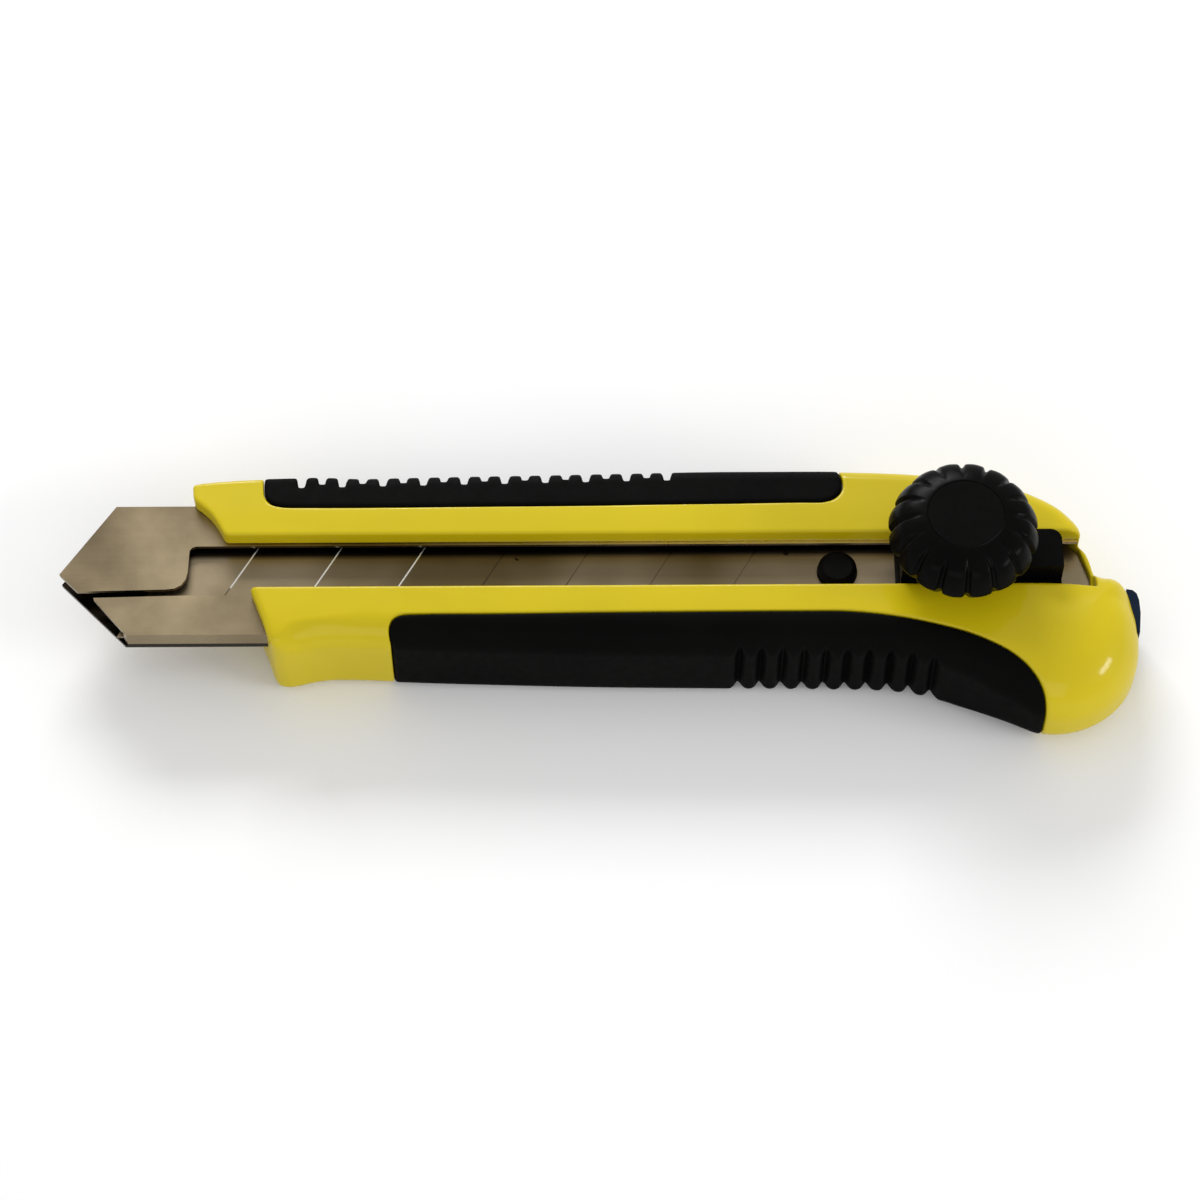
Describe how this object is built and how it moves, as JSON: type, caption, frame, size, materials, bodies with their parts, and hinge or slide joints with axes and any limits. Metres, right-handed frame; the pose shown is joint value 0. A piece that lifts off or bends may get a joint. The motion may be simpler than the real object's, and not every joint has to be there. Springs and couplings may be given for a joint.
{
  "type": "snap-off utility knife",
  "caption": "Snap-off blade utility knife with a metal blade channel, a two-shell handle with soft grips, a screw-down locking knob slider and a pull-out end cap.",
  "frame": {"origin": "middle of the length and width of the knife, on the flat back that it lies on", "axes": "+X from the blade tip to the tail, +Y towards the spine edge, +Z out of the back towards the locking knob"},
  "size_m": [0.14, 0.0348, 0.0245],
  "materials": {
    "handle_plastic": "semi-gloss yellow ABS",
    "grip_rubber": "satin black soft grip",
    "screw_steel": "zinc plated",
    "brass": "turned",
    "stainless": "bright rolled stainless strip",
    "blade_steel": "ground carbon steel with oil film",
    "carrier_steel": "pressed",
    "black_plastic": "fine spark texture",
    "spring_steel": "blued",
    "knob_plastic": "satin moulded",
    "cap_plastic": "smooth black"
  },
  "bodies": {
    "handle": {"handle_body": "handle_plastic", "rear_cover": "handle_plastic", "spine_grip": "grip_rubber", "belly_grip": "grip_rubber", "cover_screws": "screw_steel", "screw_inserts": "brass", "channel_pins": "screw_steel", "blade_channel": "stainless"},
    "slider": {"snap_blade": "blade_steel", "blade_carrier": "carrier_steel", "carrier_peg": "black_plastic", "slider_block": "black_plastic", "clamp_stud": "screw_steel", "slider_spring": "spring_steel"},
    "washer": {"thrust_washer": "screw_steel"},
    "wheel": {"knob": "knob_plastic", "knob_nut": "brass", "knob_cap": "knob_plastic"},
    "tail_plug": {"end_cap": "cap_plastic"}
  },
  "joints": [
    {"name": "slider_travel", "type": "slide", "parent": "handle", "child": "slider", "axis": [-1, 0, 0], "range_m": [0, 0.08]},
    {"name": "knob_rise", "type": "slide", "parent": "slider", "child": "washer", "axis": [0, 0, 1], "range_m": [0, 0.0007]},
    {"name": "knob_turn", "type": "hinge", "parent": "washer", "child": "wheel", "pos_m": [0.0464, 0.00325, 0.0167], "axis": [0, 0, 1], "range_deg": [0, 360]},
    {"name": "end_cap_pull", "type": "slide", "parent": "handle", "child": "tail_plug", "axis": [1, 0, 0], "range_m": [0, 0.012]}
  ],
  "couplings": [
    {"joint": "knob_turn", "follows": "knob_rise", "rad_per_m": 8976}
  ]
}
